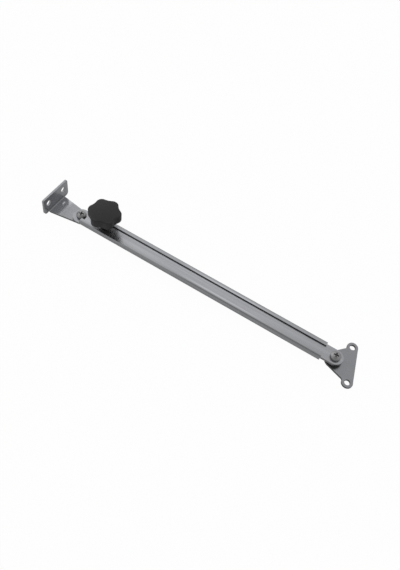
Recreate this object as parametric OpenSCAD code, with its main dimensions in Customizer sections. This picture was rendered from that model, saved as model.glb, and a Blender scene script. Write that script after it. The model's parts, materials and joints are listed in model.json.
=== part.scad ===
// Transom window stay: a flat bar slides in a rolled, slotted rail and is clamped there by a star knob.
// The stay lies on its back. The origin is midway between the frame bracket's two holes, on its underside.
// X runs along the rail, from the sash bracket towards the frame bracket, and Z points to the knob's side.

/* [Stay] */
// Distance between the two pivots with the stay closed
pivot_span = 266.4; // [263:0.2:420]
// Turn of the frame bracket against the rail, in degrees
frame_turn = 14.8; // [-90:0.2:90]

/* [Rail] */
// Thickness of the rolled strip
rail_wall = 1.2; // [0.9:0.1:1.6]
// Outer radius of the rail's four rolled corners
rail_shoulder_r = 2.2; // [1.7:0.1:2.3]
// Width of the slot between the two lips
rail_slot = 9.6; // [8.6:0.1:10.6]
// Distance from the sash pivot to where the walls begin
rail_start = 4; // [3:0.1:6]
// Distance from the rail's open end to the frame pivot
rail_end_gap = 10.9; // [9:0.1:60]
// Width of the flat tongue that carries the sash pivot
tongue_w = 16.6; // [12:0.1:17]

/* [Slide bar] */
// Width of the bar
bar_w = 15; // [13:0.1:18]
// Thickness of the bar
bar_t = 2.6; // [2:0.1:4]
// Running gap above and below the bar
bar_gap = 0.2; // [0.15:0.05:0.4]
// Running gap at each side of the bar
bar_side_gap = 0.6; // [0.5:0.05:1]
// Gap between the bar's square end and the sash screw's head
bar_end_gap = 1.7; // [0.5:0.1:12]

/* [Knob] */
// Distance from the sash pivot to the knob's axis
knob_offset = 27; // [26:0.2:60]
// Diameter over the lobes
knob_d = 31; // [28:0.5:36]
// Number of lobes
knob_lobes = 6; // [5:1:7]
// Radius of each lobe's tip
lobe_r = 5.3; // [4:0.1:5.4]
// Depth of the hollows between the lobes
lobe_depth = 2.2; // [1.8:0.1:2.6]
// Height of the lobed head
head_h = 10; // [9:0.5:14]
// Radius of the domed top
crown_r = 70; // [50:1:120]
// Radius of the head's rim
rim_r = 2.5; // [1:0.1:3.5]
// Diameter of the hub at its foot
hub_d = 12.6; // [11:0.1:14]
// Draft of the hub, added to its diameter at the head
hub_draft = 1.4; // [0:0.1:2]
// Height of the hub below the head
hub_h = 8.8; // [5:0.1:12]
// Space between the hub's foot and the bush when clamped
hub_gap = 2; // [1:0.1:4]
// Depth of the cored ring in the head's underside
core_depth = 4; // [2:0.5:6]
// Wall between the cored ring and the hub, and between the ring and the hollows
core_wall = 2.6; // [2:0.1:3]
// Turn of the lobes against the rail, in degrees
knob_turn = 21; // [0:1:60]

/* [Clamp] */
// Diameter of the stud
stud_d = 6; // [5:0.1:6.4]
// Length of the stud held in the knob
stud_hold = 12; // [8:0.5:14]
// Chamfer on the stud's tip
stud_chamfer = 0.8; // [0.4:0.1:1.2]
// Gap between the stud's tip and the rail's back
stud_tip_gap = 0.05; // [0.02:0.01:0.1]
// Height of the threaded bush above the bar
bush_h = 3.4; // [2:0.1:5]
// Gap between the bush and each lip
bush_side_gap = 0.3; // [0.3:0.05:0.5]
// Wall of the bush's riveted spigot
spigot_wall = 0.7; // [0.5:0.1:0.9]

/* [Sash bracket] */
// Thickness of both bracket plates
plate_t = 2; // [1.5:0.1:3]
// Distance from the sash pivot to the upright flange
sash_reach = 29.2; // [27:0.1:40]
// Radius of the flange's round end at the pivot
sash_end_r = 7.2; // [6.5:0.1:8.5]
// Width of the flange at the bend
sash_root_w = 22.8; // [18:0.2:26]
// Inner radius of the bend
bend_r = 1.2; // [0.8:0.1:2]
// Width of the upright flange
upright_w = 34.8; // [32:0.2:42]
// Height of the upright flange's top above the underside
upright_top = 19.6; // [17:0.1:19.8]
// Height of the upright flange's free corners above the underside
upright_low = 1; // [0.5:0.1:1.6]
// Radius of the upright flange's upper corners
upright_r = 1.6; // [1:0.1:3]
// Radius of the upright flange's lower corners
upright_low_r = 3.2; // [1:0.1:3.6]
// Width of the relief slot beside the bend
relief_w = 0.8; // [0.5:0.1:1.5]
// Spacing of the upright flange's holes
upright_spacing = 21.2; // [16:0.2:22]
// Height of those holes above the underside
upright_hole_z = 11.8; // [9:0.1:13]
// Diameter of those holes
upright_hole_d = 6; // [4:0.1:7]

/* [Frame bracket] */
// Distance from the frame pivot to the line of the two holes
hole_reach = 14.6; // [13.6:0.1:20]
// Spacing of the two holes
hole_spacing = 35.2; // [32:0.2:44]
// Diameter of the two holes
hole_d = 5; // [4:0.1:6]
// Radius of the two ears
ear_r = 5; // [4.2:0.1:6]
// Radius of the round end at the pivot
frame_end_r = 7.9; // [6.6:0.1:8.5]
// Angle between the slanted edges and the bracket's middle line
edge_angle = 33; // [28:0.5:36]
// Radius of the necks between the slanted edges and the ears
neck_r = 2.5; // [1.5:0.1:4]

/* [Pivots] */
// Shank diameter of the pivot screws
screw_d = 5; // [4:0.1:5.4]
// Head diameter of the pivot screws
screw_head_d = 9.2; // [8:0.1:9.4]
// Head height of the pivot screws
screw_head_h = 3.7; // [2.4:0.1:4.4]
// Radius of the head's dome
screw_dome_r = 7.5; // [6:0.1:12]
// Length of the cross recess
recess_len = 4.6; // [3:0.1:5.4]
// Width of the cross recess's arms
recess_w = 1.1; // [0.8:0.1:1.4]
// Depth of the cross recess
recess_depth = 1.6; // [1:0.1:2]
// Turn of the sash screw's recess, in degrees
sash_recess_turn = 20; // [0:1:90]
// Turn of the frame screw's recess, in degrees
frame_recess_turn = 5; // [0:1:90]
// Thickness of the washer under the rail's tongue
sash_spacer_t = 1; // [0.6:0.1:2]
// Diameter of both washers
spacer_d = 12; // [10:0.1:13.4]

/* [Fits] */
// Radial clearance of a turning or sliding shaft
run_fit = 0.05; // [0.02:0.01:0.1]
// Radial clearance of threads and riveted joints
thread_fit = 0.02; // [0.01:0.01:0.05]

/* [Hidden] */
$fn = 96;

// Overlap that lets cuts run past a face
cut = 1;
// Lap by which an edge or arc crosses the arc that it runs into
lap = 0.05;

// Where the pivots lie
frame_x = -hole_reach * cos(frame_turn);
axis_y = -hole_reach * sin(frame_turn);
sash_x = frame_x - pivot_span;
knob_x = sash_x + knob_offset;

// The stack of levels, from the brackets' underside up
rail_z = plate_t + sash_spacer_t;
back_z = rail_z + rail_wall;
bar_z = back_z + bar_gap;
bar_top = bar_z + bar_t;
rail_top = bar_top + bar_gap + rail_wall;
bush_top = bar_top + bush_h;
hub_z = bush_top + hub_gap;
head_z = hub_z + hub_h;

// Lengths that follow from the pivots
rail_len = pivot_span - rail_start - rail_end_gap;
bar_len = pivot_span - screw_head_d / 2 - bar_end_gap;

// Sections that follow from the bar and its gaps
rail_w = bar_w + 2 * bar_side_gap + 2 * rail_wall;
rail_h = rail_top - rail_z;
bush_d = rail_slot - 2 * bush_side_gap;
spigot_d = stud_d + 2 * run_fit + 2 * spigot_wall;
bore_d = stud_d + 2 * run_fit;
pivot_bore_d = screw_d + 2 * run_fit;

// Rectangle on the X axis with its own corner radii below and above
module rounded_rect(w, h, low_r, top_r) {
    for (side = [-1, 1]) {
        translate([side * (w / 2 - low_r), low_r]) circle(low_r);
        translate([side * (w / 2 - top_r), h - top_r]) circle(top_r);
    }
    translate([low_r - w / 2, 0]) square([w - 2 * low_r, h - top_r]);
    translate([top_r - w / 2, low_r]) square([w - 2 * top_r, h - low_r]);
    translate([-w / 2, low_r]) square([w, h - low_r - top_r]);
}

// Extrusion along X of a section drawn in Y and Z
module along_x(length) {
    rotate([90, 0, 90]) linear_extrude(length) children();
}

module at_sash_pivot() {
    translate([sash_x, axis_y, 0]) children();
}

module at_frame_pivot() {
    translate([frame_x, axis_y, 0]) children();
}

module at_knob() {
    translate([knob_x, axis_y, 0]) children();
}

// Rolled section: a flat back, two walls and two lips with the slot between them
module rail_section() {
    difference() {
        rounded_rect(rail_w, rail_h, rail_shoulder_r, rail_shoulder_r);
        translate([0, rail_wall])
            rounded_rect(rail_w - 2 * rail_wall, rail_h - 2 * rail_wall,
                         rail_shoulder_r - rail_wall, rail_shoulder_r - rail_wall);
        translate([-rail_slot / 2, rail_h / 2]) square([rail_slot, rail_h]);
    }
}

module rail() {
    color("silver") at_sash_pivot() translate([0, 0, rail_z]) difference() {
        union() {
            translate([rail_start, 0, 0]) along_x(rail_len) rail_section();
            linear_extrude(rail_wall) {
                circle(d = tongue_w);
                translate([0, -tongue_w / 2]) square([rail_start + tongue_w / 2, tongue_w]);
            }
        }
        translate([0, 0, -cut]) cylinder(d = pivot_bore_d, h = rail_wall + 2 * cut);
    }
}

// Flat bar with a round end at the frame pivot and a square end past the knob
module slide_bar() {
    color("lightgray") translate([0, 0, bar_z]) difference() {
        at_frame_pivot() linear_extrude(bar_t) {
            circle(d = bar_w);
            translate([-bar_len, -bar_w / 2]) square([bar_len, bar_w]);
        }
        at_frame_pivot() translate([0, 0, -cut]) cylinder(d = pivot_bore_d, h = bar_t + 2 * cut);
        at_knob() translate([0, 0, -cut]) cylinder(d = spigot_d + 2 * thread_fit, h = bar_t + 2 * cut);
    }
}

// Threaded bush, riveted into the bar by its spigot and running in the rail's slot
module clamp_bush() {
    color("gray") at_knob() difference() {
        union() {
            translate([0, 0, bar_top]) cylinder(d = bush_d, h = bush_h);
            translate([0, 0, bar_z]) cylinder(d = spigot_d, h = bar_t + bush_h / 2);
        }
        translate([0, 0, bar_z - cut]) cylinder(d = bore_d, h = bar_t + bush_h + 2 * cut);
    }
}

// Stud moulded into the knob; its chamfered tip bears on the rail's back
module clamp_stud() {
    tip_z = back_z + stud_tip_gap;
    color("gray") at_knob() translate([0, 0, tip_z]) {
        cylinder(d1 = stud_d - 2 * stud_chamfer, d2 = stud_d, h = stud_chamfer);
        translate([0, 0, stud_chamfer]) cylinder(d = stud_d, h = hub_z + stud_hold - tip_z - stud_chamfer);
    }
}

// Straight star: round lobes that run into the hollow arcs between them
module star() {
    step = 360 / knob_lobes;
    lobe_c = knob_d / 2 - lobe_r;
    hollow_floor = knob_d / 2 - lobe_depth;
    // the hollow's centre lies where its arc meets the floor and runs into both lobes
    floor_reach = hollow_floor - lobe_r + lap;
    hollow_c = (lobe_c^2 - floor_reach^2) / (2 * (lobe_c * cos(step / 2) - floor_reach));
    difference() {
        linear_extrude(head_h) polygon([for (i = [0 : 2 * knob_lobes - 1])
            (i % 2 == 0 ? lobe_c : hollow_c) * [cos(i * step / 2), sin(i * step / 2)]]);
        for (i = [0 : knob_lobes - 1]) rotate((i + 0.5) * step) translate([hollow_c, 0, -cut])
            cylinder(r = hollow_c - hollow_floor, h = head_h + 2 * cut);
    }
    for (i = [0 : knob_lobes - 1]) rotate(i * step) translate([lobe_c, 0, 0]) cylinder(r = lobe_r, h = head_h);
}

// Half section of the head's envelope: a domed top that runs into a rounded rim just outside the lobes
module head_profile() {
    envelope_r = knob_d / 2 + rim_r / 8;
    rim_x = envelope_r - rim_r;
    dome_c = [0, head_h - crown_r];
    rim_c = [rim_x, dome_c.y + sqrt((crown_r - rim_r)^2 - rim_x^2)];
    intersection() {
        translate(dome_c) circle(crown_r);
        polygon([[0, -cut], [rim_x, -cut], rim_c, rim_c + (rim_c - dome_c) * rim_r / crown_r, [0, head_h + cut]]);
    }
    translate(rim_c) circle(rim_r);
    translate([rim_x / 2, -cut]) square([envelope_r - rim_x / 2, rim_c.y + cut]);
}

// Moulded star knob with a drafted hub and a cored underside
module knob() {
    core_in = hub_d / 2 + hub_draft / 2 + core_wall / 2;
    core_out = knob_d / 2 - lobe_depth - core_wall;
    color("#2b2b2b") at_knob() difference() {
        union() {
            translate([0, 0, head_z]) intersection() {
                rotate(knob_turn) star();
                rotate_extrude() head_profile();
            }
            translate([0, 0, hub_z]) cylinder(d1 = hub_d, d2 = hub_d + hub_draft, h = hub_h);
            translate([0, 0, head_z]) cylinder(d = hub_d + hub_draft, h = core_depth);
        }
        translate([0, 0, head_z - cut]) difference() {
            cylinder(r = core_out, h = core_depth + cut);
            translate([0, 0, -cut]) cylinder(r = core_in, h = core_depth + 3 * cut);
        }
        translate([0, 0, hub_z - cut]) cylinder(d = stud_d + 2 * thread_fit, h = stud_hold + cut);
    }
}

// Upright flange: free corners hang beside the bend, parted from it by relief slots
module upright_outline() {
    bend_top = plate_t + bend_r;
    difference() {
        translate([0, upright_low])
            rounded_rect(upright_w, upright_top - upright_low, upright_low_r, upright_r);
        square([sash_root_w + 2 * relief_w, 2 * bend_top], center = true);
        for (side = [-1, 1]) translate([side * upright_spacing / 2, upright_hole_z]) circle(d = upright_hole_d);
    }
}

// Folded plate: a tapering flange with the pivot, a bend and the upright flange
module sash_bracket() {
    bend_x = bend_r - sash_reach;
    root = [bend_x, sash_root_w / 2];
    near = [0, sash_end_r - lap];
    color("silver") at_sash_pivot() difference() {
        union() {
            cylinder(r = sash_end_r, h = plate_t);
            linear_extrude(plate_t) polygon([root, near, -near, [root.x, -root.y]]);
            translate([bend_x, sash_root_w / 2, plate_t + bend_r]) rotate([90, 0, 0]) difference() {
                cylinder(r = bend_r + plate_t, h = sash_root_w);
                translate([0, 0, -cut]) cylinder(r = bend_r, h = sash_root_w + 2 * cut);
                translate([0, -2 * plate_t - bend_r, -cut])
                    cube([plate_t + bend_r + cut, 4 * (plate_t + bend_r), sash_root_w + 2 * cut]);
                translate([-2 * (plate_t + bend_r), 0, -cut])
                    cube([4 * (plate_t + bend_r), plate_t + bend_r + cut, sash_root_w + 2 * cut]);
            }
            translate([-sash_reach - plate_t, 0, 0]) along_x(plate_t) upright_outline();
        }
        translate([0, 0, -cut]) cylinder(d = screw_d + 2 * thread_fit, h = plate_t + 2 * cut);
    }
}

// Triangular plate: round pivot end, slanted edges, filleted necks, two ears and a straight outer edge
module frame_plate() {
    along = [cos(edge_angle), sin(edge_angle)];
    out = [-sin(edge_angle), cos(edge_angle)];
    ear = [hole_reach, hole_spacing / 2];
    beyond = frame_end_r - out * ear;
    neck_run = sqrt((ear_r + neck_r)^2 - (neck_r + beyond)^2);
    neck_foot = ear + out * beyond - along * neck_run;
    neck_c = neck_foot + out * neck_r;
    neck_tip = ear + (neck_c - ear) * ear_r / (ear_r + neck_r);
    half = [out * (frame_end_r - lap), neck_foot - out * lap, neck_c, neck_tip, ear, ear + [ear_r - lap, 0]];
    difference() {
        linear_extrude(plate_t)
            polygon(concat(half, [for (i = [len(half) - 1 : -1 : 0]) [half[i].x, -half[i].y]]));
        for (side = [-1, 1]) translate([neck_c.x, side * neck_c.y, -cut])
            cylinder(r = neck_r + 2 * lap, h = plate_t + 2 * cut);
    }
    cylinder(r = frame_end_r, h = plate_t);
    for (side = [-1, 1]) translate([ear.x, side * ear.y, 0]) cylinder(r = ear_r, h = plate_t);
}

module frame_bracket() {
    color("silver") at_frame_pivot() rotate(frame_turn) difference() {
        frame_plate();
        translate([0, 0, -cut]) cylinder(d = screw_d + 2 * thread_fit, h = plate_t + 2 * cut);
        for (side = [-1, 1]) translate([hole_reach, side * hole_spacing / 2, -cut])
            cylinder(d = hole_d, h = plate_t + 2 * cut);
    }
}

// Pan head screw from the underside up to its seat, with a cross recess in the dome
module pivot_screw(seat_z, recess_turn) {
    head_z = seat_z + run_fit;
    difference() {
        union() {
            cylinder(d = screw_d, h = head_z + screw_head_h / 2);
            translate([0, 0, head_z]) rotate_extrude() intersection() {
                square([screw_head_d / 2, screw_head_h]);
                translate([0, screw_head_h - screw_dome_r]) circle(screw_dome_r);
            }
        }
        for (arm = [0, 90]) rotate(recess_turn + arm) translate([0, 0, head_z + screw_head_h])
            cube([recess_len, recess_w, 2 * recess_depth], center = true);
    }
}

module sash_pivot_screw() {
    color("gainsboro") at_sash_pivot() pivot_screw(back_z, sash_recess_turn);
}

module frame_pivot_screw() {
    color("gainsboro") at_frame_pivot() pivot_screw(bar_top, frame_recess_turn);
}

// Washer between a bracket plate and what turns above it
module spacer(top_z) {
    translate([0, 0, plate_t]) difference() {
        cylinder(d = spacer_d, h = top_z - plate_t);
        translate([0, 0, -cut]) cylinder(d = pivot_bore_d, h = top_z - plate_t + 2 * cut);
    }
}

module sash_spacer() {
    color("gray") at_sash_pivot() spacer(rail_z);
}

module frame_spacer() {
    color("gray") at_frame_pivot() spacer(bar_z);
}

rail();
slide_bar();
clamp_bush();
clamp_stud();
knob();
sash_bracket();
sash_pivot_screw();
sash_spacer();
frame_bracket();
frame_pivot_screw();
frame_spacer();
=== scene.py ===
import json
import math

import bmesh
import bpy
import numpy as np
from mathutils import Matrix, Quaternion, Vector


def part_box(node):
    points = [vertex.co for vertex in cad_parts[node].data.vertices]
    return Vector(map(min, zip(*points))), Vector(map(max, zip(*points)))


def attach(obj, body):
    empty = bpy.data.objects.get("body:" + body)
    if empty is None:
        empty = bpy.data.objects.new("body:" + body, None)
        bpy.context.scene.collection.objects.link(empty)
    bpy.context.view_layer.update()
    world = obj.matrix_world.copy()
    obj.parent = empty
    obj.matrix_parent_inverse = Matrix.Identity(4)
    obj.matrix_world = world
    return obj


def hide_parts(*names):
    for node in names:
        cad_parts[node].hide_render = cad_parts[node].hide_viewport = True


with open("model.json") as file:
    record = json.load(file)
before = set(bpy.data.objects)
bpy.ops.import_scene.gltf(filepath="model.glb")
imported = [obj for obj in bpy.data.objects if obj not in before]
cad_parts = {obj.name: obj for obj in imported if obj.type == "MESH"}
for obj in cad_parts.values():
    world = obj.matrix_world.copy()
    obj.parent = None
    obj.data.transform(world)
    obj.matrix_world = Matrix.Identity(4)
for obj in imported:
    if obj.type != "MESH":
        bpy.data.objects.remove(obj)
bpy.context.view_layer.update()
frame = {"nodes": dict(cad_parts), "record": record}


# Rail: a C section roll-formed from steel strip, satin from the rolls, with a flat pivot tongue at one end.
# The shear and the rolls ease the strip's edges a little; the eased edges are lighter, partly worn, partly
# painted highlight.
# A lighter line beside the slot is painted highlight, and painted shade lies under the lips and on the near
# shoulder.

class Shade:
    """One shader socket. Arithmetic on it adds Math nodes, and node() adds a node of any other type."""

    def __init__(self, tree, out):
        self.tree, self.out = tree, out

    def plug(self, socket, value):
        if isinstance(value, Shade):
            self.tree.links.new(value.out, socket)
        else:
            socket.default_value = value

    def node(self, kind, out, settings=None, **sockets):
        made = self.tree.nodes.new("ShaderNode" + kind)
        for key, value in (settings or {}).items():
            if key == "stops":
                ramp = made.color_ramp
                while len(ramp.elements) < len(value):
                    ramp.elements.new(0.5)
                for stop, (place, colour) in zip(ramp.elements, value):
                    stop.position, stop.color = place, colour
            else:
                setattr(made, key, value)
        for key, value in sockets.items():
            name = key.replace("_", " ")
            found = [s for s in made.inputs if s.name == name and s.enabled]
            self.plug(found[0] if found else made.inputs[int(key[1:])], value)
        return Shade(self.tree, made.outputs[out])

    def math(self, operation, a, b=0.0):
        return self.node("Math", 0, {"operation": operation}, i0=a, i1=b)

    def __add__(self, other): return self.math("ADD", self, other)
    def __radd__(self, other): return self.math("ADD", other, self)
    def __sub__(self, other): return self.math("SUBTRACT", self, other)
    def __rsub__(self, other): return self.math("SUBTRACT", other, self)
    def __mul__(self, other): return self.math("MULTIPLY", self, other)
    def __rmul__(self, other): return self.math("MULTIPLY", other, self)
    def __abs__(self): return self.math("ABSOLUTE", self)

    def rise(self, low, high):
        """0 below low, 1 above high, and a smooth step between them."""
        return self.node("MapRange", 0, {"interpolation_type": "SMOOTHSTEP"}, Value=self,
                         From_Min=low, From_Max=high)


def finish_of(name):
    """A new material, its Principled shader and its Object coordinates."""
    made = bpy.data.materials.new(name)
    made.use_nodes = True
    shader = made.node_tree.nodes["Principled BSDF"]
    place = made.node_tree.nodes.new("ShaderNodeTexCoord").outputs["Object"]
    return made, shader, Shade(made.node_tree, place)


def streaks(place, turn, lengthwise, across):
    """Noise stretched into brush lines: few cycles a metre along the turned X axis, many across it."""
    lay = place.node("Mapping", 0, Vector=place, Rotation=(0, 0, -turn), Scale=(lengthwise, across, across))
    return place.node("TexNoise", "Fac", Vector=lay, Scale=1.0, Detail=3.0, Roughness=0.6)


def steel(name, tone, turn=0.0, brush=0.10, blotch=0.05, rough=0.42, metal=0.92, wear_and_painted_light=None):
    """Satin steel: brush lines and rolling blotches vary tone and roughness, and fine lines make the bump.

    All of them, and the added marks and painted light, are shares of the tone, and together swing it by nine
    tenths at most.
    """
    made, shader, place = finish_of(name)
    fine = streaks(place, turn, 40, 5200)
    broad = streaks(place, turn, 9, 620)
    cloud = place.node("TexNoise", "Fac", Vector=place, Scale=110.0, Detail=4.0, Roughness=0.55)
    shift = (fine - 0.5) * brush * 0.5 + (broad - 0.5) * brush * 1.6 + (cloud - 0.5) * blotch * 2
    # the added marks include painted shade and painted highlight for several pieces
    if wear_and_painted_light is not None:
        shift = shift + wear_and_painted_light(place)
    swing = 0.9
    low, high = [tuple(c * k for c in tone) + (1,) for k in (1 - swing, 1 + swing)]
    colour = place.node("Mix", 2, {"data_type": "RGBA"}, Factor=shift * (0.5 / swing) + 0.5, A=low, B=high)
    place.plug(shader.inputs["Base Color"], colour)
    place.plug(shader.inputs["Roughness"], rough - shift * 0.12 + (cloud - 0.5) * 0.08)
    bump = place.node("Bump", 0, Strength=0.12, Distance=0.00002, Height=fine + cloud * 0.6)
    place.plug(shader.inputs["Normal"], bump)
    shader.inputs["Metallic"].default_value = metal
    return made


def eased(node, width, *finishes):
    """The node's own solid with its flat faces made whole and its sharp edges rounded to the given width."""
    flat, sharp = math.radians(0.5), math.radians(35)
    solid = bmesh.new()
    solid.from_mesh(frame["nodes"][node].data)
    bmesh.ops.remove_doubles(solid, verts=solid.verts, dist=1e-6)
    bmesh.ops.dissolve_limit(solid, angle_limit=flat, verts=solid.verts, edges=solid.edges)
    for edge in solid.edges:
        edge.smooth = edge.calc_face_angle(math.pi) < sharp
    for face in solid.faces:
        face.smooth = sum(flat < edge.calc_face_angle(0) < sharp for edge in face.edges) > 1
        face.material_index = 0
    data = bpy.data.meshes.new(node + "_eased")
    solid.to_mesh(data)
    solid.free()
    data.materials.clear()
    for finish in finishes:
        data.materials.append(finish)
    piece = bpy.data.objects.new(node + "_eased", data)
    bpy.context.scene.collection.objects.link(piece)
    ease = piece.modifiers.new("eased edges", "BEVEL")
    ease.width, ease.segments, ease.limit_method = width, 2, "ANGLE"
    ease.angle_limit = sharp
    ease.material = len(finishes) - 1
    return piece


axis_y = frame["record"]["mounts"][1]["pos_m"][1]
rail_top, rail_end, slot_half = 0.0084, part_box("rail")[1].x, 0.0048


def slot_rub_and_painted_light(place):
    """A lighter line on top beside each edge of the slot: faintly rubbed all along, with painted highlight on
    the middle stretch.

    Painted shade below the edges fades out towards the knob,
    and a painted dark reflection runs along most of the near shoulder.
    """
    along, across, up = [place.node("SeparateXYZ", axis, Vector=place) for axis in "XYZ"]
    off, top = abs(across - axis_y), up.rise(rail_top - 0.0003, rail_top - 0.0001)
    # lighter line beside each slot edge: faintly rubbed, and painted highlight where the stretch below is on
    rub = 1.0 - abs(off - (slot_half + 0.0006)).rise(0.0004, 0.0012)
    # the middle stretch of the rail that gets the painted highlight
    painted_highlight_stretch = along.rise(-0.18, -0.14) * (1.0 - along.rise(-0.105, -0.07))
    # painted shade on the lips' inner edges below the top, fading towards the knob
    painted_shade_under_lips = (1.0 - off.rise(slot_half + 0.0002, slot_half + 0.0006)) * along.rise(-0.24, -0.05)
    shoulder = slot_half + 0.0028
    # painted dark reflection along the near shoulder
    painted_dark_reflection = (1.0 - abs(axis_y - across - shoulder).rise(0.0003, 0.0011)) * along.rise(-0.19, -0.15)
    return rub * top * (painted_highlight_stretch * 0.34 + 0.05) - painted_shade_under_lips * (1.0 - top) * 0.5 - painted_dark_reflection * top * 0.32


rail_steel = steel("rail satin steel", (0.246, 0.249, 0.258), brush=0.3, rough=0.28, wear_and_painted_light=slot_rub_and_painted_light)
# eased edges get a lighter finish: partly real wear, partly a painted edge highlight
worn_highlit_edge = steel("worn edge with painted highlight", (0.284, 0.286, 0.291), brush=0.06, rough=0.3)
rail = eased("rail", 0.00014, rail_steel, worn_highlit_edge)
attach(rail, "rail")
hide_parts("rail")


# Slide bar: flat cold-drawn steel, brushed along its length, with one end rounded for the frame pivot.
# The knob's bush is riveted into it, and its top, with painted shade under the lips, shows through the rail's
# slot.

def middle(node):
    """The middle of a node's box, in X and Y."""
    low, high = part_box(node)
    return ((low + high) / 2)[:2]


knob_axis, bar_top = middle("clamp_bush"), 0.0070


def lip_painted_shade(place):
    """Painted shade on the bar: under the rail's lips as far as the rail goes, round the bush, and on the
    drawn sides.
    """
    along, across, up = [place.node("SeparateXYZ", axis, Vector=place) for axis in "XYZ"]
    # painted shadow of the rail's lips on the bar, only where the rail covers it
    line = 1.0 - abs(abs(across - axis_y) - (slot_half + 0.0004)).rise(0.0004, 0.0013)
    past_rail = along.rise(rail_end - 0.0025, rail_end - 0.0012)
    side, out = across - float(knob_axis[1]), along - float(knob_axis[0])
    # painted shade of the knob round the bush
    knob_shade_patch = 1.0 - place.math("SQRT", side * side + out * out).rise(0.007, 0.015)
    # painted shade on the bar's sides below its top
    shaded_sides = 1.0 - up.rise(bar_top - 0.0007, bar_top - 0.0003)
    return line * (past_rail - 1.0) * 0.4 - shaded_sides * 0.45 - knob_shade_patch * 0.35


bar_steel = steel("bar brushed steel", (0.274, 0.277, 0.288), brush=0.36, rough=0.26, wear_and_painted_light=lip_painted_shade)
bar = eased("slide_bar", 0.00025, bar_steel, worn_highlit_edge)
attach(bar, "bar")
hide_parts("slide_bar")


# Clamp bush and stud: turned from steel bar and blackened, so both carry fine rings round the knob's axis.
# The bush's spigot is riveted into the bar, and the stud's chamfered tip presses on the rail's back.

def turned(name, centre, profile, finish):
    """A closed revolve: the profile's radius and height, in mm, carried round an upright axis."""
    around = np.linspace(0, 2 * np.pi, 72, endpoint=False)
    radius, height = np.asarray(profile, float).T[:, :, None] / 1000
    east, north = centre[0] + radius * np.cos(around), centre[1] + radius * np.sin(around)
    return sheet_of(name, np.stack([east, north, np.broadcast_to(height, east.shape)], -1), finish)


def sheet_of(name, grid, finish):
    """Quads on a grid that closes round its second parameter, and round its first too if it has a bore.

    A first or last row that lies on the axis is a pole: its points are merged into one.
    """
    rows, cols = grid.shape[:2]
    sharp = math.radians(38)
    bored = np.ptp(grid[0], axis=0).max() > 1e-9
    i, j = np.meshgrid(np.arange(rows if bored else rows - 1), np.arange(cols), indexing="ij")
    at = lambda a, b: (a % rows) * cols + b % cols
    quads = np.stack([at(i, j), at(i, j + 1), at(i + 1, j + 1), at(i + 1, j)], -1).reshape(-1, 4)
    data = bpy.data.meshes.new(name)
    data.from_pydata(grid.reshape(-1, 3), [], quads)
    solid = bmesh.new()
    solid.from_mesh(data)
    bmesh.ops.remove_doubles(solid, verts=solid.verts, dist=1e-7)
    bmesh.ops.recalc_face_normals(solid, faces=solid.faces)
    for edge in solid.edges:
        edge.smooth = edge.is_manifold and edge.calc_face_angle() < sharp
    solid.to_mesh(data)
    solid.free()
    data.polygons.foreach_set("use_smooth", np.ones(len(data.polygons), bool))
    data.materials.append(finish)
    piece = bpy.data.objects.new(name, data)
    bpy.context.scene.collection.objects.link(piece)
    return piece


def turned_steel(name, tone, centre, rough):
    """Turned steel: fine tool rings that follow the distance from the axis, under a few soft blotches."""
    made, shader, place = finish_of(name)
    lay = place.node("Mapping", 0, Vector=place, Location=(-centre[0], -centre[1], 0))
    east, north = [lay.node("SeparateXYZ", axis, Vector=lay) for axis in "XY"]
    radius = place.math("SQRT", east * east + north * north)
    rings = place.math("SINE", radius * 21000.0) * 0.5 + 0.5
    cloud = place.node("TexNoise", "Fac", Vector=place, Scale=420.0, Detail=3.0, Roughness=0.6)
    shift = (rings - 0.5) * 0.05 + (cloud - 0.5) * 0.22
    low, high = [tuple(c * k for c in tone) + (1,) for k in (0.5, 1.5)]
    colour = place.node("ValToRGB", "Color", {"stops": [(0.0, low), (1.0, high)]}, Fac=shift + 0.5)
    place.plug(shader.inputs["Base Color"], colour)
    place.plug(shader.inputs["Roughness"], rough + (cloud - 0.5) * 0.2)
    bump = place.node("Bump", 0, Strength=0.25, Distance=0.00002, Height=rings + cloud)
    place.plug(shader.inputs["Normal"], bump)
    shader.inputs["Metallic"].default_value = 0.85
    return made


clamp_steel = turned_steel("blackened clamp steel", (0.047, 0.047, 0.048), knob_axis, rough=0.38)
bush_profile = [(3.05, 4.4), (3.05, 10.1), (3.35, 10.4), (4.2, 10.4), (4.5, 10.1), (4.5, 7.0), (3.75, 7.0),
                (3.75, 4.4)]
bush = turned("bush_turned", knob_axis, bush_profile, clamp_steel)
stud_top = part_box("clamp_stud")[1].z * 1000
stud_profile = [(0, 4.25), (2.2, 4.25), (3.0, 5.05), (3.0, stud_top - 0.4), (2.6, stud_top), (0, stud_top)]
stud = turned("stud_turned", knob_axis, stud_profile, clamp_steel)
for piece, body, node in ((bush, "bar", "clamp_bush"), (stud, "stud", "clamp_stud")):
    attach(piece, body)
    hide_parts(node)


# Knob: one moulding of black glass-filled plastic with six round lobes, a domed top and a drafted hub.
# Its underside is cored out round the hub, and the mould's fine grain leaves it satin.

knob_r, lobe_r, hollow_floor, lobes, knob_turn = 15.5, 5.3, 13.3, 6, math.radians(21)
head_z, head_h, crown_r, rim, lip = 21.2, 10.0, 70.0, 1.3, 0.6
# radius and height from the head's lower face: the cored ring, then the drafted hub with its blind bore
core_profile = [(10.7, 0), (10.5, 0.3), (10.3, 4.0), (8.5, 4.0), (8.3, 0.3), (8.1, 0)]
hub_profile = [(7.0, 0), (6.33, -8.4), (5.95, -8.8), (3.3, -8.8), (3.02, -8.5), (3.02, 3.2), (0, 3.2)]


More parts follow.
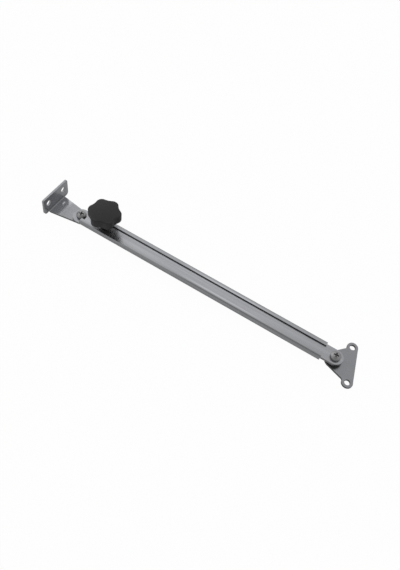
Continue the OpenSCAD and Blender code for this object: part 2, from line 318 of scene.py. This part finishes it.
def star(angle):
    """Radius of the star at each angle: out to a lobe's circle near its tip, else to the hollow's circle.

    Both come from a ray's distance to a circle of radius q at distance c: c cos a, plus or minus the root of
    q squared less (c sin a) squared. The hollow's circle touches both neighbouring lobes.
    """
    step = 2 * np.pi / lobes
    lobe_c, reach = knob_r - lobe_r, hollow_floor - lobe_r
    hollow_c = (lobe_c**2 - reach**2) / (2 * (lobe_c * math.cos(step / 2) - reach))
    hollow_q = hollow_c - hollow_floor
    tip = (angle - knob_turn + step / 2) % step - step / 2
    dip = (angle - knob_turn) % step - step / 2
    lobe = lobe_c * np.cos(tip) + np.sqrt(np.maximum(lobe_r**2 - (lobe_c * np.sin(tip))**2, 0))
    hollow = hollow_c * np.cos(dip) - np.sqrt(np.maximum(hollow_q**2 - (hollow_c * np.sin(dip))**2, 0))
    # a lobe hands over to the hollow where the line between their centres leaves the lobe
    away = math.atan2(hollow_c * math.sin(step / 2), hollow_c * math.cos(step / 2) - lobe_c)
    hand = math.atan2(lobe_r * math.sin(away), lobe_c + lobe_r * math.cos(away))
    return np.where(np.abs(tip) < hand, lobe, hollow)


def moulded_knob(name, finish):
    """Rings of the moulding from its top centre to its blind bore, each ring the star drawn in by an inset.

    Rim and lower lip are quarter circles in inset and height; inside them the star shrinks into circles.
    """
    around = np.linspace(0, 2 * np.pi, 288, endpoint=False)
    outline = star(around)[:, None] * np.stack([np.cos(around), np.sin(around)], -1)
    along = np.roll(outline, -1, 0) - np.roll(outline, 1, 0)
    inward = np.stack([-along[:, 1], along[:, 0]], -1) / np.linalg.norm(along, axis=1, keepdims=True)
    circle = np.stack([np.cos(around), np.sin(around)], -1)
    dome = lambda flat: head_h - crown_r + np.sqrt(crown_r**2 - (flat**2).sum(-1))
    ring = lambda flat, z: np.concatenate([flat, np.broadcast_to(z, flat.shape[:1])[:, None]], -1)
    rows = []
    inner = outline + inward * rim
    for share in np.linspace(0, 1, 12)[:-1]:
        rows.append(ring(inner * share, dome(inner * share)))
    for a in np.radians(np.linspace(90, 0, 9)):
        flat = outline + inward * rim * (1 - math.cos(a))
        rows.append(ring(flat, dome(inner) - rim + rim * math.sin(a)))
    for a in np.radians(np.linspace(0, 90, 5)):
        rows.append(ring(outline + inward * lip * (1 - math.cos(a)), lip - lip * math.sin(a)))
    for radius, z in core_profile + hub_profile:
        rows.append(ring(circle * radius, z))
    grid = np.stack(rows) / 1000 + [knob_axis[0], knob_axis[1], head_z / 1000]
    return sheet_of(name, grid, finish)


def moulded_black(name):
    """Satin black plastic: mould grain in the bump, cloudy gloss, and a greyer bloom where fingers rub it."""
    made, shader, place = finish_of(name)
    grain = place.node("TexNoise", "Fac", Vector=place, Scale=2600.0, Detail=2.0, Roughness=0.5)
    cloud = place.node("TexNoise", "Fac", Vector=place, Scale=150.0, Detail=4.0, Roughness=0.6)
    lay = place.node("Mapping", 0, Vector=place, Location=(-knob_axis[0], -knob_axis[1], 0))
    east, north = [lay.node("SeparateXYZ", axis, Vector=lay) for axis in "XY"]
    rub = place.math("SQRT", east * east + north * north).rise(0.0115, 0.0155)
    bloom = rub * 0.35 + (cloud - 0.5) * 0.7 + 0.3
    deep, bloomed = (0.0185, 0.0185, 0.0187, 1), (0.0285, 0.0285, 0.029, 1)
    colour = place.node("ValToRGB", "Color", {"stops": [(0.0, deep), (1.0, bloomed)]}, Fac=bloom)
    place.plug(shader.inputs["Base Color"], colour)
    place.plug(shader.inputs["Roughness"], 0.62 + (cloud - 0.5) * 0.16 - rub * 0.05)
    shader.inputs["Specular IOR Level"].default_value = 0.18
    place.plug(shader.inputs["Normal"], place.node("Bump", 0, Strength=0.3, Distance=0.00006, Height=grain))
    return made


knob = moulded_knob("knob_moulded", moulded_black("moulded black plastic"))
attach(knob, "knob")
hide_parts("knob")


# Sash bracket: blanked and folded from steel plate, with relief slots beside the bend.
# It keeps a satin mill surface, a little darker than the bar, lighter beside the bend, with painted shade in
# the bend's corner.

plate = 0.002
fold_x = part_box("sash_bracket")[0].x + plate


def sheared_and_shaded(place):
    """The darker band that the blanking die leaves on the plate's edges, below a burnished strip, deepened
    with painted shade.
    """
    up = place.node("SeparateXYZ", "Z", Vector=place)
    # the edge band is darker than the die's dull band alone: painted shade
    return up.rise(0.00005, 0.0002) * (up.rise(plate - 0.0004, plate - 0.0001) - 1.0) * 0.72


def folded(place):
    """The edges' darker band, a lighter band on the flange's top beside the bend, and painted shade in the
    bend's inner corner.
    """
    along, up = [place.node("SeparateXYZ", axis, Vector=place) for axis in "XZ"]
    out, over = along - fold_x, up - plate
    low = over.rise(-0.00005, 0.0001) * (1.0 - over.rise(0.0007, 0.0014))
    # painted shade in the bend's inner corner
    corner = (1.0 - out.rise(0.0008, 0.0014)) * low
    # a lighter band on the flange's top beside the bend
    flank = out.rise(0.0004, 0.0014) * (1.0 - out.rise(0.007, 0.014)) * over.rise(-0.0002, -0.00005)
    return sheared_and_shaded(place) * 0.6 - corner * 0.3 + flank * 0.8


bracket_steel = steel("bracket satin steel", (0.224, 0.227, 0.236), brush=0.12, blotch=0.08, rough=0.26,
                      metal=0.85, wear_and_painted_light=folded)
sash_bracket = eased("sash_bracket", 0.00025, bracket_steel, worn_highlit_edge)
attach(sash_bracket, "sash_end")
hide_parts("sash_bracket")


# Frame bracket: a flat triangular blank with a hole in each ear, from the same plate but a darker coil.
# Its grain lies along its own middle line, turned a little against the rail, and its eased edges carry
# painted shade.

plate_turn = math.radians(14.8)
plate_steel = steel("plate satin steel", (0.214, 0.217, 0.226), turn=plate_turn, brush=0.07, blotch=0.07,
                    rough=0.26, wear_and_painted_light=sheared_and_shaded)
# painted shade: a dark finish on the eased edges that outlines the plate
shaded_rim = steel("painted shade rim", (0.10, 0.101, 0.103), rough=0.36)
frame_bracket = eased("frame_bracket", 0.00035, plate_steel, shaded_rim)
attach(frame_bracket, "frame_end")
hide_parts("frame_bracket")


# Pivot screws: cold-headed pan heads with a cross recess, plated, riveted over flush below the brackets.
# Each head clamps nothing: the tongue or the bar turns under it on a plain shank. Painted shade darkens the
# recess.

def pan_screw(name, node, seat, recess_turn, finish, painted_shade):
    """Rings from the head's centre to the shank's foot; the dome sinks into a cross recess.

    The recess falls from its rim to full depth over a short slope, measured from the nearer arm's two sides
    and its end, and shallows towards the end.
    """
    centre, head_r, head_h, dome_r, shank_r = middle(node), 4.6, 3.7, 7.5, 2.5
    arm_half, arm_reach, depth, slope, fine_r = 0.62, 2.35, 1.6, 0.35, 3.2
    around = np.linspace(0, 2 * np.pi, 144, endpoint=False)
    radius = np.concatenate([np.linspace(0, fine_r, 41), np.linspace(fine_r, head_r - 0.15, 12)[1:]])
    flat = radius[:, None, None] * np.stack([np.cos(around), np.sin(around)], -1)
    cos, sin = math.cos(recess_turn), math.sin(recess_turn)
    arm = np.sort(np.abs(flat @ np.array([[cos, -sin], [sin, cos]])), axis=-1)
    inside = np.minimum(arm_half - arm[..., 0], arm_reach - arm[..., 1])
    sink = depth * np.clip(inside / slope, 0, 1) * (1 - 0.3 * np.clip(arm[..., 1] / arm_reach, 0, 1))
    top = seat + head_h - dome_r + np.sqrt(dome_r**2 - (flat**2).sum(-1)) - sink
    head = np.concatenate([flat, top[..., None]], -1)
    edge = seat + head_h - dome_r + math.sqrt(dome_r**2 - head_r**2)
    rest = np.array([(head_r, edge - 0.1), (head_r, seat + 0.15), (head_r - 0.15, seat), (shank_r, seat),
                     (shank_r, 0.2), (shank_r - 0.2, 0.0), (0, 0.0)])
    side = np.stack([rest[:, :1] * np.cos(around), rest[:, :1] * np.sin(around),
                     np.broadcast_to(rest[:, 1:], (len(rest), len(around)))], -1)
    grid = np.concatenate([head, side]) / 1000 + [centre[0], centre[1], 0]
    screw = sheet_of(name, grid, finish)
    screw.data.materials.append(painted_shade)
    faces = screw.data.polygons
    middles = np.empty(len(faces) * 3, np.float32)
    faces.foreach_get("center", middles)
    east, north, up = (middles.reshape(-1, 3) - [centre[0], centre[1], 0]).T * 1000
    off = np.hypot(east, north)
    below = seat + head_h - dome_r + np.sqrt(np.maximum(dome_r**2 - off**2, 0)) - up
    # faces sunk in the cross recess take the second finish, painted shade
    sunk = (below > 0.3) & (below < 2.0) & (off < arm_reach + 0.25)
    faces.foreach_set("material_index", sunk.astype(np.int32))
    return screw


for end, node, seat, recess_turn, painted_shade in (("sash_end", "sash_pivot_screw", 4.25, 20, 0.074),
                                           ("frame_end", "frame_pivot_screw", 7.05, 5, 0.13)):
    # painted shade for the recess, lighter on the frame screw
    recess_shade_steel = steel(end + " recess dirt", (painted_shade, painted_shade, painted_shade * 1.01), rough=0.5)
    screw_steel = turned_steel(end + " screw plating", (0.221, 0.221, 0.224), middle(node), rough=0.36)
    screw = pan_screw(node + "_headed", node, seat, math.radians(recess_turn), screw_steel, recess_shade_steel)
    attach(screw, end)
    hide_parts(node)


# Spacers: plain punched washers that lift the tongue and the bar clear of their brackets.
# The punch rounds their upper edges and leaves the lower ones square.

for end, node in (("sash_end", "sash_spacer"), ("frame_end", "frame_spacer")):
    washer_steel = turned_steel(end + " washer plating", (0.221, 0.221, 0.224), middle(node), rough=0.4)
    low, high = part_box(node)[0].z * 1000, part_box(node)[1].z * 1000
    washer_profile = [(2.55, low), (2.55, high - 0.1), (2.65, high), (5.75, high), (6.0, high - 0.25),
                      (6.0, low)]
    washer = turned(node + "_punched", middle(node), washer_profile, washer_steel)
    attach(washer, end)
    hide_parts(node)


# Studio: the stay lies on a white sweep in a plain room, with one large soft box behind its sash end.
# The room is dimmer overhead and on the camera's side, so rolled edges and near faces read darker than flats.
# The sweep shows the camera a plain white and the steel a greyer floor.

camera = bpy.data.objects.new("camera", bpy.data.cameras.new("camera"))
bpy.context.scene.collection.objects.link(camera)
bpy.context.scene.camera = camera
camera.location = (-0.03748, -0.29551, 0.44597)
aim, roll = Vector((-0.14868, -0.00324, 0.0)) - camera.location, math.radians(12.17)
camera.rotation_mode = "QUATERNION"
camera.rotation_quaternion = aim.to_track_quat("-Z", "Y") @ Quaternion((0, 0, 1), roll)
focal_px, image_h, sensor_mm = 600, 570, 36
camera.data.lens = focal_px * sensor_mm / image_h
camera.data.clip_start, camera.data.clip_end = 0.01, 20

bpy.context.scene.view_settings.view_transform = "Standard"

floor_mesh = bpy.data.meshes.new("floor")
half, floor_z = 3.0, -0.0003
corners = [(-half, -half, floor_z), (half, -half, floor_z), (half, half, floor_z), (-half, half, floor_z)]
floor_mesh.from_pydata(corners, [], [(0, 1, 2, 3)])
floor = bpy.data.objects.new("floor", floor_mesh)
bpy.context.scene.collection.objects.link(floor)
paper, shader, place = finish_of("white paper sweep")
shader.inputs["Base Color"].default_value = (0.62, 0.62, 0.62, 1)
shader.inputs["Roughness"].default_value = 0.9
seen = [place.node("LightPath", ray) for ray in ("Is Camera Ray", "Is Glossy Ray", "Is Transmission Ray")]
glow = place.node("Emission", 0, Color=(1, 1, 1, 1), Strength=1.0)
shown, mirrored = 0.97, 0.43
share = seen[0] * shown + (seen[1] + seen[2]) * mirrored
sweep = place.node("MixShader", 0, i0=share, i1=Shade(paper.node_tree, shader.outputs[0]), i2=glow)
paper.node_tree.links.new(sweep.out, paper.node_tree.nodes["Material Output"].inputs["Surface"])
floor_mesh.materials.append(paper)

world = bpy.data.worlds.new("studio")
bpy.context.scene.world = world
world.use_nodes = True
backdrop = world.node_tree.nodes["Background"]
way = Shade(world.node_tree, world.node_tree.nodes.new("ShaderNodeTexCoord").outputs["Generated"])
east, north, up = [way.node("SeparateXYZ", axis, Vector=way) for axis in "XYZ"]
window = (north * 0.492 + up * 0.766 - east * 0.413).rise(0.72, 0.98)
ceiling = (up - north * 0.03 + east * 0.03).rise(0.866, 0.951)
far, frame_side, sash_side = north.rise(-0.5, 0.15), east.rise(-0.2, 0.2), (0.0 - east).rise(0.3, 0.8)
level = 0.80 + far * 0.30 + window * 0.15 - ceiling * 0.40 - frame_side * 0.17 + sash_side * 0.47
room = way.node("CombineColor", 0, Red=level, Green=level, Blue=level * 1.006)
plain = way.node("LightPath", "Is Camera Ray")
sky = way.node("Mix", 2, {"data_type": "RGBA"}, Factor=plain, A=room, B=(1, 1, 1, 1))
way.plug(backdrop.inputs["Color"], sky)
backdrop.inputs["Strength"].default_value = 1.0


def soft_box(name, towards, azimuth, elevation, distance, size, power):
    """An area lamp on a sphere round a point, facing it; azimuth 0 is +Y and 90 is +X."""
    lamp = bpy.data.objects.new(name, bpy.data.lights.new(name, "AREA"))
    bpy.context.scene.collection.objects.link(lamp)
    a, e = math.radians(azimuth), math.radians(elevation)
    out = Vector((math.sin(a) * math.cos(e), math.cos(a) * math.cos(e), math.sin(e)))
    lamp.location = Vector(towards) + out * distance
    lamp.rotation_mode = "QUATERNION"
    lamp.rotation_quaternion = (-out).to_track_quat("-Z", "Y")
    lamp.data.shape, lamp.data.size, lamp.data.energy = "DISK", size, power


soft_box("key", towards=(-0.15, 0, 0), azimuth=-45, elevation=50, distance=2.2, size=2.4, power=2.7)
